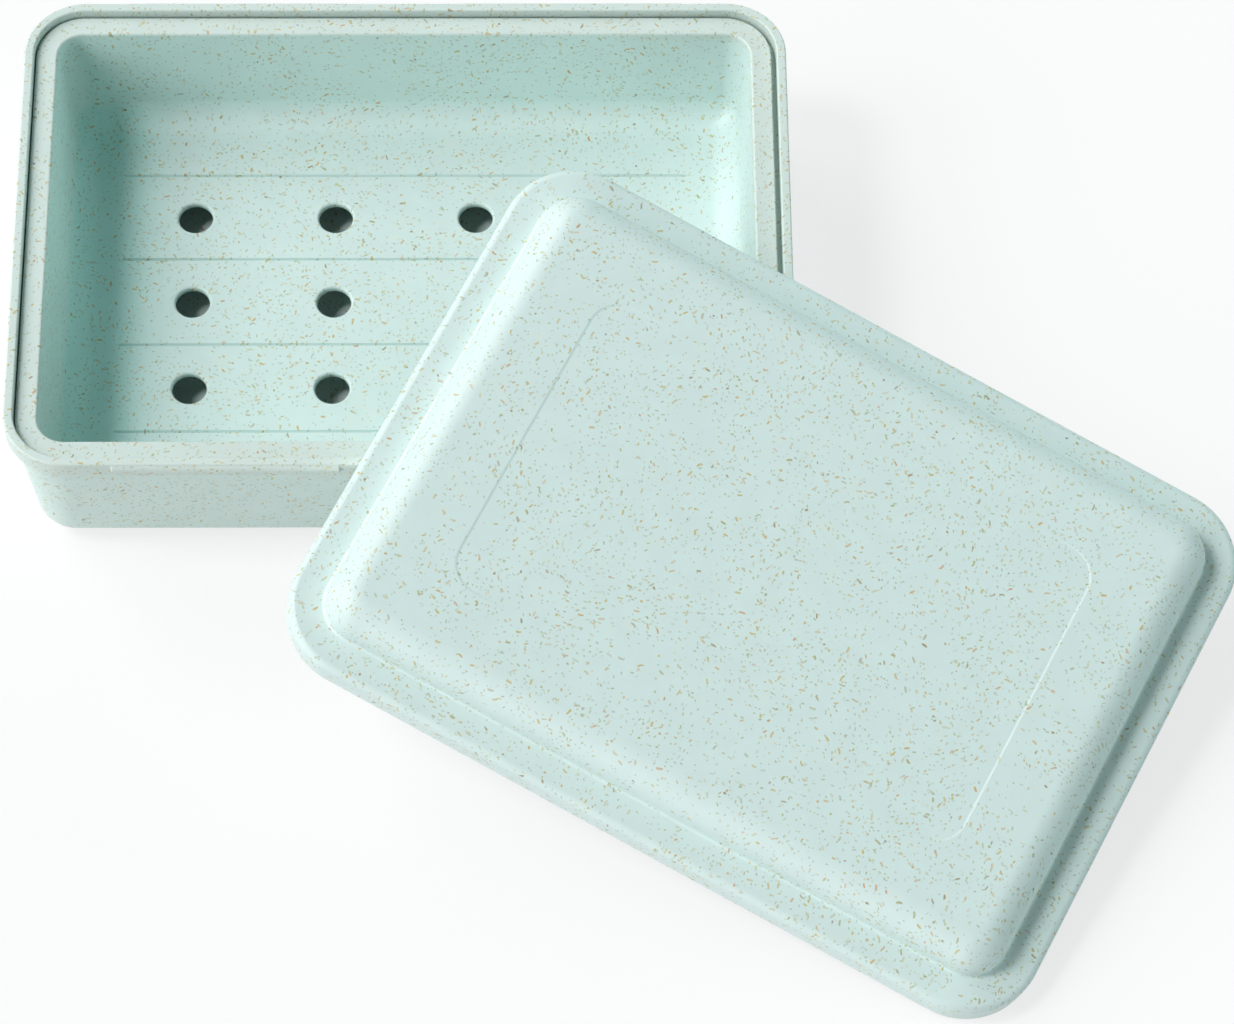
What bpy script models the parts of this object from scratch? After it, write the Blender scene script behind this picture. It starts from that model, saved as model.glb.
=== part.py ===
"""Soap box: an outer base, a drain tray that lifts out of it, and a lid laid aside against the rim.

Metres, +Z up. The origin is the middle of the base's flat underside and +X runs along the box.
Each moulding is one closed outline carried round rounded rectangles. An outline's points are
(inset, height, radius): how far inside the outermost face, how high, and how round that corner is.
"""
import math

import bmesh
import bpy
from mathutils import Matrix, Vector

# Base
RIM_LENGTH = 0.120
RIM_WIDTH = 0.0855
RIM_CORNER = 0.0095
RIM_THICKNESS = 0.0015
RIM_ROUND = 0.0005
BASE_HEIGHT = 0.0285
BASE_WALL = 0.0017
BASE_FLOOR = 0.0017
BASE_DRAFT = 0.0026
BASE_FILLET = 0.0062
BAND_HEIGHT = 0.0032
BAND_OVERHANG = 0.0012
BAND_COVE = 0.0012
BAND_EDGE_ROUND = 0.0003

# Snap beads on the two long sides of the rim
BEAD_LENGTH = 0.0344
BEAD_OFFSET = 0.0262
BEAD_DROP = 0.0011
BEAD_RADIUS = 0.0009
BEAD_PROUD = 0.0005
BEAD_END_ROUND = 0.0003

# Drain tray
TRAY_END_GAP = 0.0005
TRAY_SIDE_GAP = 0.0003
TRAY_SEAT_GAP = 0.0003
TRAY_SHIFT = -0.00025
FLANGE_SINK = 0.0014
FLANGE_WIDTH = 0.0033
FLANGE_EDGE_ROUND = 0.0003
TRAY_WALL = 0.0015
TRAY_WALL_GAP = 0.0005
WATER_GAP = 0.0043
TRAY_FILLET = 0.0045
TRAY_LIP_ROUND = 0.0004

# Drain holes and the slat lines between their rows
HOLE_DIAMETER = 0.0054
HOLE_EDGE_ROUND = 0.0004
HOLE_COLUMNS = 4
HOLE_ROWS = 3
HOLE_PITCH = 0.0223
ROW_PITCH = 0.0160
GROOVE_LENGTH = 0.0900
GROOVE_WIDTH = 0.0007
GROOVE_DEPTH = 0.0004

# Lid
LID_SIDE_GAP = 0.0003
LID_WALL = 0.0017
SKIRT_HEIGHT = 0.0053
SKIRT_EDGE_ROUND = 0.0003
LEDGE_WIDTH = 0.0054
LEDGE_ROUND = 0.0012
CROWN_FOOT_ROUND = 0.0005
CROWN_RISE = 0.0065
CROWN_DRAFT = 0.0004
CROWN_FILLET = 0.0052
PANEL_END_MARGIN = 0.0143
PANEL_SIDE_MARGIN = 0.0138
PANEL_CORNER = 0.0050
PANEL_DEPTH = 0.0003
SNAP_GROOVE_GAP = 0.0003

# How the lid lies: turned about the vertical, its long far side over the base's right-hand rim,
# its left-hand short side over the near rim and its near right corner down on the table
LID_TURN = math.radians(-26.6)
LEAN_NEAR_X = -0.0046
LEAN_SIDE_Y = -0.0128
LEAN_GAP = 0.0003

# Shared
TIGHTEST_CORNER = 0.0020
OVERRUN = 0.0020
CORNER_STEPS = 7
FILLET_STEPS = 4
HOLE_STEPS = 20
BEAD_STEPS = 16
BEAD_END_STEPS = 2
ROUND_PROFILE = 0.5
LEAN_HALVINGS = 48
SHARP_FROM = math.radians(35)
WELD_DISTANCE = 0.00001

# Places that follow from the sizes above
FOOT_INSET = BAND_OVERHANG + BASE_DRAFT
TRAY_HEIGHT = BASE_HEIGHT - FLANGE_SINK - TRAY_WALL
LEDGE_HEIGHT = TRAY_HEIGHT - TRAY_SEAT_GAP
TRAY_UNDERSIDE = BASE_FLOOR + WATER_GAP - TRAY_HEIGHT
TRAY_FLOOR_TOP = TRAY_UNDERSIDE + TRAY_WALL
TRAY_LENGTH = RIM_LENGTH - 2 * (RIM_THICKNESS + TRAY_END_GAP)
TRAY_WIDTH = RIM_WIDTH - 2 * (RIM_THICKNESS + TRAY_SIDE_GAP)
TRAY_CORNER = RIM_CORNER - RIM_THICKNESS - TRAY_END_GAP
LID_REACH = LID_SIDE_GAP + LID_WALL
LID_LENGTH = RIM_LENGTH + 2 * LID_REACH
LID_WIDTH = RIM_WIDTH + 2 * LID_REACH
LID_CORNER = RIM_CORNER + LID_REACH
LID_HEIGHT = SKIRT_HEIGHT + CROWN_RISE
NEAR_SUPPORT = Vector((LEAN_NEAR_X, RIM_ROUND - RIM_WIDTH / 2, BASE_HEIGHT - RIM_ROUND))
SIDE_SUPPORT = Vector((RIM_LENGTH / 2 - RIM_ROUND, LEAN_SIDE_Y, BASE_HEIGHT - RIM_ROUND))


def clear_scene():
    for thing in list(bpy.data.objects):
        bpy.data.objects.remove(thing, do_unlink=True)


def new_collection(name):
    collection = bpy.data.collections.new(name)
    bpy.context.scene.collection.children.link(collection)
    return collection


def principled(name, colour, roughness):
    material = bpy.data.materials.new(name)
    material.use_nodes = True
    shader = material.node_tree.nodes["Principled BSDF"]
    shader.inputs["Base Color"].default_value = (*colour, 1)
    shader.inputs["Roughness"].default_value = roughness
    shader.inputs["Metallic"].default_value = 0
    material.diffuse_color = (*colour, 1)
    return material


def rounded_outline(corners):
    """The points along straight runs between corners, each corner an arc of its own radius.

    The first and last corners only give the direction in which the outline starts and ends."""
    points = []
    for before, corner, after in zip(corners, corners[1:], corners[2:]):
        at = Vector(corner[:2])
        radius = corner[2]
        if not radius:
            points.append(at)
            continue
        back = (Vector(before[:2]) - at).normalized()
        ahead = (Vector(after[:2]) - at).normalized()
        half = back.angle(ahead) / 2
        centre = at + (back + ahead).normalized() * radius / math.sin(half)
        start = at + back * radius / math.tan(half) - centre
        end = at + ahead * radius / math.tan(half) - centre
        sweep = start.angle_signed(end)
        for step in range(FILLET_STEPS + 1):
            points.append(centre + Matrix.Rotation(-sweep * step / FILLET_STEPS, 2) @ start)
    return points


def rounded_rectangle(length, width, corner, height):
    """Corners in order round a level rounded rectangle, each one an arc."""
    points = []
    for quarter, (side_x, side_y) in enumerate(((1, 1), (-1, 1), (-1, -1), (1, -1))):
        for step in range(CORNER_STEPS + 1):
            angle = math.pi / 2 * (quarter + step / CORNER_STEPS)
            x = side_x * (length / 2 - corner) + corner * math.cos(angle)
            y = side_y * (width / 2 - corner) + corner * math.sin(angle)
            points.append((x, y, height))
    return points


def loft(rings):
    """A closed mesh through rings of equally many points, capped at both ends."""
    mesh = bmesh.new()
    loops = [[mesh.verts.new(point) for point in ring] for ring in rings]
    for low, high in zip(loops, loops[1:]):
        for index in range(len(low)):
            following = (index + 1) % len(low)
            mesh.faces.new((low[index], low[following], high[following], high[index]))
    mesh.faces.new(loops[0])
    mesh.faces.new(loops[-1])
    bmesh.ops.recalc_face_normals(mesh, faces=mesh.faces)
    return mesh


def moulding(outline, length, width, corner):
    """The outline carried round a rounded rectangle that narrows with the inset."""
    rings = []
    for inset, height in rounded_outline(outline):
        ring_corner = max(corner - inset, TIGHTEST_CORNER)
        rings.append(rounded_rectangle(length - 2 * inset, width - 2 * inset, ring_corner, height))
    return loft(rings)


def add_object(name, mesh, collection, material=None):
    data = bpy.data.meshes.new(name)
    mesh.to_mesh(data)
    mesh.free()
    thing = bpy.data.objects.new(name, data)
    collection.objects.link(thing)
    if material:
        data.materials.append(material)
    return thing


def add_tool(name, mesh, collection):
    """A shape that cuts or joins another and isn't part of the object itself."""
    tool = add_object(name, mesh, collection)
    tool.hide_render = True
    tool.display_type = "WIRE"
    return tool


def boolean(thing, operation, tool):
    modifier = thing.modifiers.new(tool.name, "BOOLEAN")
    modifier.operation = operation
    modifier.solver = "EXACT"
    modifier.object = tool


def add_empty(name, collection, place):
    empty = bpy.data.objects.new(name, None)
    empty.location = place
    collection.objects.link(empty)
    return empty


def repeat(thing, name, count, pitch, axis):
    """Copies in a row, centred on where the first one was."""
    array = thing.modifiers.new(name, "ARRAY")
    array.count = count
    array.use_relative_offset = False
    array.use_constant_offset = True
    array.constant_offset_displace = axis * pitch
    thing.location -= axis * pitch * (count - 1) / 2


def shade_round(thing, sharp_from):
    thing.data.shade_smooth()
    thing.data.set_sharp_from_angle(angle=sharp_from)


def base_outline():
    middle = RIM_WIDTH / 2
    band_foot = BASE_HEIGHT - BAND_HEIGHT
    return (
        (middle, 0),
        (FOOT_INSET, 0, BASE_FILLET),
        (BAND_OVERHANG, band_foot - BAND_COVE, BAND_EDGE_ROUND),
        (0, band_foot, BAND_EDGE_ROUND),
        (0, BASE_HEIGHT, RIM_ROUND),
        (RIM_THICKNESS, BASE_HEIGHT, RIM_ROUND),
        (RIM_THICKNESS, LEDGE_HEIGHT, 0),
        (BAND_OVERHANG + BASE_WALL, LEDGE_HEIGHT, BAND_EDGE_ROUND),
        (FOOT_INSET + BASE_WALL, BASE_FLOOR, BASE_FILLET - BASE_WALL),
        (middle, BASE_FLOOR),
    )


def bead_bar(radius, length, end_round):
    """A round bar along X with softened ends."""
    mesh = bmesh.new()
    along_x = Matrix.Rotation(math.pi / 2, 4, "Y")
    bmesh.ops.create_cone(
        mesh, cap_ends=True, segments=BEAD_STEPS, radius1=radius, radius2=radius, depth=length, matrix=along_x
    )
    ends = [edge for edge in mesh.edges if abs(edge.verts[0].co.x - edge.verts[1].co.x) < length / 2]
    bmesh.ops.bevel(
        mesh, geom=ends, offset=end_round, segments=BEAD_END_STEPS, profile=ROUND_PROFILE, affect="EDGES"
    )
    return mesh


def four_beads(name, collection, radius, length, place):
    """The bar at one place and its mirror images across the box's two middle planes."""
    bar = bead_bar(radius, length, BEAD_END_ROUND)
    bmesh.ops.translate(bar, verts=bar.verts, vec=place)
    tool = add_tool(name, bar, collection)
    mirror = tool.modifiers.new("other_sides", "MIRROR")
    mirror.use_axis = (True, True, False)
    mirror.use_mirror_merge = False
    return tool


def make_base(parts, tools, material):
    base = add_object("base", moulding(base_outline(), RIM_LENGTH, RIM_WIDTH, RIM_CORNER), parts, material)
    out = RIM_WIDTH / 2 + BEAD_PROUD - BEAD_RADIUS
    beads = four_beads(
        "snap_beads", tools, BEAD_RADIUS, BEAD_LENGTH, (BEAD_OFFSET, out, BASE_HEIGHT - BEAD_DROP)
    )
    boolean(base, "UNION", beads)
    return base


def tray_outline():
    """Heights are from the flange's underside. The wall stays inside the base's wall all the way down."""
    middle = TRAY_WIDTH / 2
    slope = BASE_DRAFT / (LEDGE_HEIGHT - BASE_FLOOR)
    base_wall = FOOT_INSET + BASE_WALL - WATER_GAP * slope
    outer_foot = base_wall + TRAY_WALL_GAP - RIM_THICKNESS - TRAY_SIDE_GAP
    inner_foot = outer_foot + TRAY_WALL
    return (
        (middle, TRAY_UNDERSIDE),
        (outer_foot, TRAY_UNDERSIDE, TRAY_FILLET + TRAY_WALL),
        (FLANGE_WIDTH - TRAY_WALL, 0, FLANGE_EDGE_ROUND),
        (0, 0, FLANGE_EDGE_ROUND),
        (0, TRAY_WALL, FLANGE_EDGE_ROUND),
        (FLANGE_WIDTH, TRAY_WALL, TRAY_LIP_ROUND),
        (inner_foot, TRAY_FLOOR_TOP, TRAY_FILLET),
        (middle, TRAY_FLOOR_TOP),
    )


def drain_hole_cutters(collection):
    """Round cutters that widen at both faces of the floor, so every hole has soft edges."""
    bore = HOLE_DIAMETER / 2
    mouth = bore + HOLE_EDGE_ROUND + OVERRUN
    side = rounded_outline((
        (0, 0),
        (0, TRAY_FLOOR_TOP + OVERRUN, 0),
        (mouth, TRAY_FLOOR_TOP + OVERRUN, 0),
        (bore, TRAY_FLOOR_TOP - HOLE_EDGE_ROUND, HOLE_EDGE_ROUND),
        (bore, TRAY_UNDERSIDE + HOLE_EDGE_ROUND, HOLE_EDGE_ROUND),
        (mouth, TRAY_UNDERSIDE - OVERRUN, 0),
        (0, TRAY_UNDERSIDE - OVERRUN, 0),
        (0, 0),
    ))
    mesh = bmesh.new()
    profile = [mesh.verts.new((across, 0, height)) for across, height in side]
    for upper, lower in zip(profile, profile[1:]):
        mesh.edges.new((upper, lower))
    cutter = add_tool("drain_hole_cutters", mesh, collection)
    screw = cutter.modifiers.new("turn", "SCREW")
    screw.steps = HOLE_STEPS
    screw.render_steps = HOLE_STEPS
    screw.use_merge_vertices = True
    screw.merge_threshold = WELD_DISTANCE
    repeat(cutter, "columns", HOLE_COLUMNS, HOLE_PITCH, Vector((1, 0, 0)))
    repeat(cutter, "rows", HOLE_ROWS, ROW_PITCH, Vector((0, 1, 0)))
    return cutter


def groove_cutters(collection):
    """Thin bars that score a line into the floor between and outside the rows of holes."""
    mesh = bmesh.new()
    bmesh.ops.create_cube(mesh, size=1)
    bmesh.ops.scale(mesh, verts=mesh.verts, vec=(GROOVE_LENGTH, GROOVE_WIDTH, GROOVE_DEPTH + OVERRUN))
    middle = TRAY_FLOOR_TOP + (OVERRUN - GROOVE_DEPTH) / 2
    bmesh.ops.translate(mesh, verts=mesh.verts, vec=(0, 0, middle))
    cutter = add_tool("groove_cutters", mesh, collection)
    repeat(cutter, "lines", HOLE_ROWS + 1, ROW_PITCH, Vector((0, 1, 0)))
    return cutter


def make_drain_tray(parts, tools, material):
    body = moulding(tray_outline(), TRAY_LENGTH, TRAY_WIDTH, TRAY_CORNER)
    tray = add_object("drain_tray", body, parts, material)
    holder = add_empty("tray_lift", parts, (TRAY_SHIFT, 0, TRAY_HEIGHT))
    tray.parent = holder
    for cutter in (drain_hole_cutters(tools), groove_cutters(tools)):
        cutter.parent = holder
        boolean(tray, "DIFFERENCE", cutter)
    return tray


def lid_outline():
    middle = LID_WIDTH / 2
    crown_foot = LEDGE_WIDTH
    crown_side = crown_foot + CROWN_DRAFT
    return (
        (middle, LID_HEIGHT - LID_WALL),
        (crown_side + LID_WALL, LID_HEIGHT - LID_WALL, CROWN_FILLET - LID_WALL),
        (crown_foot + LID_WALL, SKIRT_HEIGHT - LID_WALL, CROWN_FOOT_ROUND),
        (LID_WALL, SKIRT_HEIGHT - LID_WALL, CROWN_FOOT_ROUND),
        (LID_WALL, 0, SKIRT_EDGE_ROUND),
        (0, 0, SKIRT_EDGE_ROUND),
        (0, SKIRT_HEIGHT, LEDGE_ROUND),
        (crown_foot, SKIRT_HEIGHT, CROWN_FOOT_ROUND),
        (crown_side, LID_HEIGHT, CROWN_FILLET),
        (middle, LID_HEIGHT),
    )


def panel_cutter(collection):
    """A shallow block with sloping sides, let into the crown."""
    length = LID_LENGTH - 2 * (LEDGE_WIDTH + PANEL_END_MARGIN)
    width = LID_WIDTH - 2 * (LEDGE_WIDTH + PANEL_SIDE_MARGIN)
    rings = []
    for rise in (-PANEL_DEPTH, OVERRUN):
        rings.append(
            rounded_rectangle(length + 2 * rise, width + 2 * rise, PANEL_CORNER + rise, LID_HEIGHT + rise)
        )
    return add_tool("panel_cutter", loft(rings), collection)


def snap_groove_cutters(collection):
    """Room inside the skirt for the rim's beads when the lid is pressed home."""
    radius = BEAD_RADIUS + SNAP_GROOVE_GAP - LID_SIDE_GAP
    length = BEAD_LENGTH + 2 * SNAP_GROOVE_GAP
    out = RIM_WIDTH / 2 + BEAD_PROUD - BEAD_RADIUS + LID_SIDE_GAP
    height = SKIRT_HEIGHT - LID_WALL - BEAD_DROP
    return four_beads("snap_groove_cutters", collection, radius, length, (BEAD_OFFSET, out, height))


def lid_axes(lean):
    """The lid's length, width and upward directions at a given lean."""
    hinge = (SIDE_SUPPORT - NEAR_SUPPORT).normalized()
    up = Matrix.Rotation(lean, 3, hinge) @ Vector((0, 0, 1))
    heading = Vector((math.cos(LID_TURN), math.sin(LID_TURN), 0))
    heading.z = -heading.dot(up) / up.z
    along = heading.normalized()
    return along, up.cross(along), up


def lid_place(lean):
    """The middle of the skirt's lower edge when the skirt rests on both supports."""
    along, across, up = lid_axes(lean)
    lift = up * (RIM_ROUND + LEAN_GAP)
    near = NEAR_SUPPORT + lift
    side = SIDE_SUPPORT + lift
    reach = (LID_LENGTH - LID_WALL) / 2
    breadth = (LID_WIDTH - LID_WALL) / 2
    return (
        along * (near.dot(along) + reach) + across * (side.dot(across) - breadth) + up * near.dot(up)
    )


def low_corner_height(lean):
    """How high the lid's near right-hand corner is above the table."""
    along, across, up = lid_axes(lean)
    corner = lid_place(lean)
    corner += along * (LID_LENGTH / 2 - LID_CORNER) - across * (LID_WIDTH / 2 - LID_CORNER)
    corner += up * SKIRT_EDGE_ROUND
    fall = (LID_CORNER - SKIRT_EDGE_ROUND) * math.hypot(along.z, across.z)
    return corner.z - fall - SKIRT_EDGE_ROUND


def resting_lean():
    """The lean, between level and upright, at which that corner just meets the table."""
    level, upright = 0, math.pi / 2
    for _ in range(LEAN_HALVINGS):
        middle = (level + upright) / 2
        if low_corner_height(middle) > 0:
            level = middle
        else:
            upright = middle
    return level


def make_lid(parts, tools, material):
    lid = add_object("lid", moulding(lid_outline(), LID_LENGTH, LID_WIDTH, LID_CORNER), parts, material)
    lean = resting_lean()
    holder = add_empty("lid_lift", parts, lid_place(lean))
    turn = Matrix(lid_axes(lean)).transposed().to_euler()
    lid.parent = holder
    lid.rotation_euler = turn
    for cutter in (panel_cutter(tools), snap_groove_cutters(tools)):
        cutter.parent = holder
        cutter.rotation_euler = turn
        boolean(lid, "DIFFERENCE", cutter)
    return lid


def main():
    clear_scene()
    parts = new_collection("soap_box")
    tools = new_collection("soap_box_tools")
    plastic = {
        "base": principled("base_plastic", (0.62, 0.79, 0.77), 0.55),
        "tray": principled("tray_plastic", (0.58, 0.79, 0.76), 0.55),
        "lid": principled("lid_plastic", (0.61, 0.80, 0.78), 0.5),
    }
    for thing in (
        make_base(parts, tools, plastic["base"]),
        make_drain_tray(parts, tools, plastic["tray"]),
        make_lid(parts, tools, plastic["lid"]),
    ):
        shade_round(thing, SHARP_FROM)


main()
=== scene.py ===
"""Looks of the soap box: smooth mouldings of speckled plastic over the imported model, and a soft studio.

Metres, +Z up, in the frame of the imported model. Each moulding is one closed outline carried round
rounded rectangles. An outline's points are (inset, height, radius).
"""
import math

import bmesh
import bpy
from bpy.props import FloatProperty, FloatVectorProperty, PointerProperty
from mathutils import Euler, Matrix, Vector


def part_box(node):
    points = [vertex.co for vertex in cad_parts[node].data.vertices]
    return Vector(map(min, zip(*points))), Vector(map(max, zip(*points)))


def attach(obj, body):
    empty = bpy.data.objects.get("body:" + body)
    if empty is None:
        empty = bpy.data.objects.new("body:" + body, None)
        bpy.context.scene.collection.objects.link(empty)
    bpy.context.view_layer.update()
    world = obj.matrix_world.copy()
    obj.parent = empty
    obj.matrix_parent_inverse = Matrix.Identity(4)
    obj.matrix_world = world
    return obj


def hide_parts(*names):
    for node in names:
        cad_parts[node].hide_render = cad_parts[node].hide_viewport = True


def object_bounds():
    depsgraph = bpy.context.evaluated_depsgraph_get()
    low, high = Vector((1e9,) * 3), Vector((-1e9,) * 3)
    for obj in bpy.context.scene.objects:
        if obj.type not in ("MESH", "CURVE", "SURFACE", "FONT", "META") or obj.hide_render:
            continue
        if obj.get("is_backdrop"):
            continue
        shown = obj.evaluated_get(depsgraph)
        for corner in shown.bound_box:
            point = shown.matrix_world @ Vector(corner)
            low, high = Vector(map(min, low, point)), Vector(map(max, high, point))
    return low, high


bl_info = {
    "name": "Soap box",
    "version": (1, 0, 0),
    "blender": (4, 5, 0),
    "location": "3D View > Sidebar > Soap box",
    "description": "Builds a speckled plastic soap box with its drain tray and lid, and a studio round it",
    "category": "Object",
}

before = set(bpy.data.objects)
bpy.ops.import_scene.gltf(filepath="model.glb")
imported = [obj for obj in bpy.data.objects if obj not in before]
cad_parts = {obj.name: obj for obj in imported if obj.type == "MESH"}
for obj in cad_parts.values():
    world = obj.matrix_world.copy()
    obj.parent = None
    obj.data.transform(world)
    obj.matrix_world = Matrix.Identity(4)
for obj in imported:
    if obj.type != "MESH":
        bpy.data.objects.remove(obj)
FRAME_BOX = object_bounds()

# Steps of round stretches, and points along the lid's long sides
CORNER_STEPS = 22
FILLET_STEPS = 9
HOLE_STEPS = 64
BEAD_STEPS = 32
BEAD_END_STEPS = 4
LID_RUN = 30

# Every moulding: its smallest corner radius, how far cutters reach past it, the angle from which an edge
# stays sharp, and how closely it has to fit its solid
TIGHTEST_CORNER = 0.0020
OVERRUN = 0.0020
SHARP_FROM = math.radians(50)
FIT_TOLERANCE = 0.0002

# Small sizes of the base, and the rounding of its and the tray's edges
BAND_HEIGHT = 0.0032
BAND_OVERHANG = 0.0012
BAND_COVE = 0.0012
EDGE_ROUND = 0.0003

# Snap beads of the base and their grooves in the lid
BEAD_RADIUS = 0.0009
BEAD_LENGTH = 0.0344
BEAD_OFFSET = 0.0262
BEAD_SINK = 0.0004
BEAD_DROP = 0.0011
BEAD_END_ROUND = 0.0003
ROUND_PROFILE = 0.5
SNAP_GROOVE_LENGTH = 0.0350

# Small sizes of the drain tray
SEAT_GAP = 0.0003
WATER_GAP = 0.0043
TRAY_WALL_GAP = 0.0005
TRAY_FILLET = 0.0045
TRAY_LIP_ROUND = 0.0004
HOLE_COLUMNS = 4
HOLE_ROWS = 3
HOLE_EDGE_ROUND = 0.0004

# Half of a floor line's section, as shares of its half width and depth, and one of its ends, as
# shares of its length and size
GROOVE_SIDE = ((1.9, 0.5), (1.25, -0.02), (0.85, -0.30), (0.45, -0.82))
GROOVE_END = ((0.5, 0.05), (0.499, 0.45), (0.496, 0.80), (0.49, 1))

# Small sizes of the lid
SKIRT_EDGE_ROUND = 0.0003
LEDGE_ROUND = 0.0012
CROWN_FOOT_ROUND = 0.0005
CROWN_DRAFT = 0.0004

# The lid's shallow panel: its plan, its sloping step with the share of it outside the panel's edge, more
# rings farther in, and where it fades from its ends to the little depth along its sides
PANEL_CORNER = 0.0050
PANEL_END_MARGIN = 0.0143
PANEL_SIDE_MARGIN = 0.0138
PANEL_STEPS = 12
PANEL_START = 0.25
PANEL_RINGS = (0.0012, 0.0026, 0.0045, 0.0070, 0.0100, 0.0140, 0.0190)
PANEL_FADE_FROM = 0.0150
PANEL_FADE_TO = 0.0040
PANEL_SIDE_SHARE = 0.06


class BaseSizes(bpy.types.PropertyGroup):
    rim_length: FloatProperty(
        name="Rim length", description="Outside length over the rim",
        default=0.120, unit="LENGTH", precision=4,
    )
    rim_width: FloatProperty(
        name="Rim width", description="Outside width over the rim",
        default=0.0855, unit="LENGTH", precision=4,
    )
    rim_corner: FloatProperty(
        name="Rim corner", description="Corner radius of the rim",
        default=0.0095, unit="LENGTH", precision=4,
    )
    rim_thickness: FloatProperty(
        name="Rim thickness", description="Wall at the rim",
        default=0.0015, unit="LENGTH", precision=4,
    )
    rim_round: FloatProperty(
        name="Rim rounding", description="Radius of the rim's edges",
        default=0.0003, unit="LENGTH", precision=4,
    )
    height: FloatProperty(
        name="Height", description="From the ground to the rim",
        default=0.0285, unit="LENGTH", precision=4,
    )
    wall: FloatProperty(
        name="Wall", description="Wall below the rim",
        default=0.0017, unit="LENGTH", precision=4,
    )
    floor: FloatProperty(
        name="Floor", description="Floor thickness",
        default=0.0017, unit="LENGTH", precision=4,
    )
    draft: FloatProperty(
        name="Draft", description="How far the wall leans in to the foot",
        default=0.0026, unit="LENGTH", precision=4,
    )
    fillet: FloatProperty(
        name="Bottom rounding", description="Radius round the foot",
        default=0.0062, unit="LENGTH", precision=4,
    )


class TraySizes(bpy.types.PropertyGroup):
    end_gap: FloatProperty(
        name="End gap", description="Gap to the rim at both ends",
        default=0.0005, unit="LENGTH", precision=4,
    )
    side_gap: FloatProperty(
        name="Side gap", description="Gap to the rim along the sides",
        default=0.0003, unit="LENGTH", precision=4,
    )
    shift: FloatProperty(
        name="Shift", description="How far the tray lies off the middle",
        default=-0.00025, unit="LENGTH", precision=5,
    )
    flange_sink: FloatProperty(
        name="Flange depth", description="Flange below the rim",
        default=0.0014, unit="LENGTH", precision=4,
    )
    flange_width: FloatProperty(
        name="Flange width", description="Width of the flange",
        default=0.0033, unit="LENGTH", precision=4,
    )
    wall: FloatProperty(
        name="Wall", description="Wall thickness",
        default=0.0015, unit="LENGTH", precision=4,
    )
    hole_diameter: FloatProperty(
        name="Hole diameter", description="Bore of a drain hole",
        default=0.0054, unit="LENGTH", precision=4,
    )
    hole_pitch: FloatProperty(
        name="Hole pitch", description="Between holes of a row",
        default=0.0223, unit="LENGTH", precision=4,
    )
    row_pitch: FloatProperty(
        name="Row pitch", description="Between rows of holes",
        default=0.0160, unit="LENGTH", precision=4,
    )
    groove_length: FloatProperty(
        name="Groove length", description="Length of a floor line",
        default=0.0900, unit="LENGTH", precision=4,
    )
    groove_width: FloatProperty(
        name="Groove width", description="Width of a floor line",
        default=0.0004, unit="LENGTH", precision=4,
    )
    groove_depth: FloatProperty(
        name="Groove depth", description="Depth of a floor line",
        default=0.0004, unit="LENGTH", precision=4,
    )


class LidSizes(bpy.types.PropertyGroup):
    side_gap: FloatProperty(
        name="Side gap", description="Gap to the rim when closed",
        default=0.0003, unit="LENGTH", precision=4,
    )
    wall: FloatProperty(
        name="Wall", description="Wall thickness",
        default=0.0017, unit="LENGTH", precision=4,
    )
    skirt_height: FloatProperty(
        name="Skirt height", description="Height of the outer skirt",
        default=0.0053, unit="LENGTH", precision=4,
    )
    ledge_width: FloatProperty(
        name="Ledge width", description="Flat ledge round the crown",
        default=0.0054, unit="LENGTH", precision=4,
    )
    crown_rise: FloatProperty(
        name="Crown rise", description="Crown above the ledge",
        default=0.0065, unit="LENGTH", precision=4,
    )
    crown_fillet: FloatProperty(
        name="Crown rounding", description="Radius of the crown's edge",
        default=0.0052, unit="LENGTH", precision=4,
    )
    panel_depth: FloatProperty(
        name="Panel depth", description="Depth of the shallow panel at its ends",
        default=0.00010, unit="LENGTH", precision=5,
    )
    panel_slope: FloatProperty(
        name="Panel slope", description="Width of the step down into the panel",
        default=0.0005, unit="LENGTH", precision=4,
    )
    place: FloatVectorProperty(
        name="Place",
        description="Middle of the skirt's lower edge",
        default=(0.0546164, -0.0589627, 0.0182782),
        subtype="TRANSLATION",
        precision=5,
    )
    turn: FloatVectorProperty(
        name="Turn",
        description="How the lid leans on the rim",
        default=(0.1605644, 0.2033792, -0.4642549),
        subtype="EULER",
        precision=5,
    )


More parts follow.
